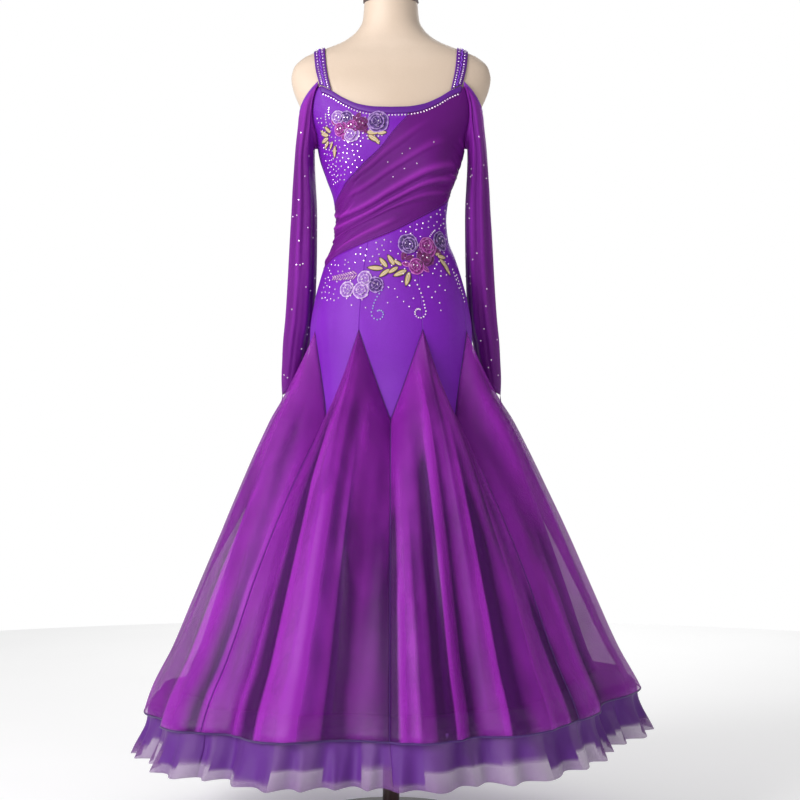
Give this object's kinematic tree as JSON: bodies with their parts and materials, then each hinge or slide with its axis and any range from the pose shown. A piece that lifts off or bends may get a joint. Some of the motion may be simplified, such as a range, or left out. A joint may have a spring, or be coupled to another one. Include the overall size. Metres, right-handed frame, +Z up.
{
  "type": "ballroom dance dress on a dress form",
  "caption": "Long violet ballroom dress with off-shoulder mesh sleeves, slanting ruched drape, organza godet skirt and frill, on a limbless dress form with a pole stand",
  "frame": {"origin": "on the floor under the middle of the stand's base, at the bottom centre of the whole part's box", "axes": "+Z up, the front of the dress faces -Y, +X is the wearer's left"},
  "size_m": [0.9693, 0.987, 1.5753],
  "materials": {
    "violet_lycra": "bright violet stretch lycra with a soft sheen",
    "dark_violet_binding": "darker violet folded lycra binding",
    "plum_mesh": "fine ruched stretch mesh, plum purple",
    "magenta_organza": "sheer magenta purple organza with a silky gleam",
    "inner_violet": "smooth violet inner cloth",
    "violet_crinoline": "stiff blue violet crinoline net",
    "dark_cord": "dark purple corded edging",
    "applique": "embroidered flowers and gold leaves on net",
    "form_cover": "smooth beige jersey over a hard torso",
    "dark_brown_wood": "dark brown lacquered wood"
  },
  "bodies": {
    "root": {"dress_form": "form_cover", "neck_cap": "dark_brown_wood", "stand_pole": "dark_brown_wood", "stand_base": "dark_brown_wood", "front_bodice": "violet_lycra", "drape_sash": "plum_mesh", "hip_yoke": "violet_lycra", "back_body": "violet_lycra", "neckline_band_front": "dark_violet_binding", "neckline_band_back": "dark_violet_binding", "strap_left": "dark_violet_binding", "strap_right": "dark_violet_binding", "sleeve_left": "plum_mesh", "sleeve_right": "plum_mesh", "sleeve_band_left": "plum_mesh", "sleeve_band_right": "plum_mesh", "finger_loop_left": "plum_mesh", "finger_loop_right": "plum_mesh", "hem_cord": "dark_cord", "applique_bust": "applique", "applique_hip": "applique", "godet_1": "magenta_organza", "underskirt_1": "inner_violet", "frill_1": "violet_crinoline", "godet_2": "magenta_organza", "underskirt_2": "inner_violet", "frill_2": "violet_crinoline", "godet_3": "magenta_organza", "underskirt_3": "inner_violet", "frill_3": "violet_crinoline", "godet_4": "magenta_organza", "underskirt_4": "inner_violet", "frill_4": "violet_crinoline", "godet_5": "magenta_organza", "underskirt_5": "inner_violet", "frill_5": "violet_crinoline", "godet_6": "magenta_organza", "underskirt_6": "inner_violet", "frill_6": "violet_crinoline", "godet_7": "magenta_organza", "underskirt_7": "inner_violet", "frill_7": "violet_crinoline", "godet_8": "magenta_organza", "underskirt_8": "inner_violet", "frill_8": "violet_crinoline"}
  },
  "joints": []
}
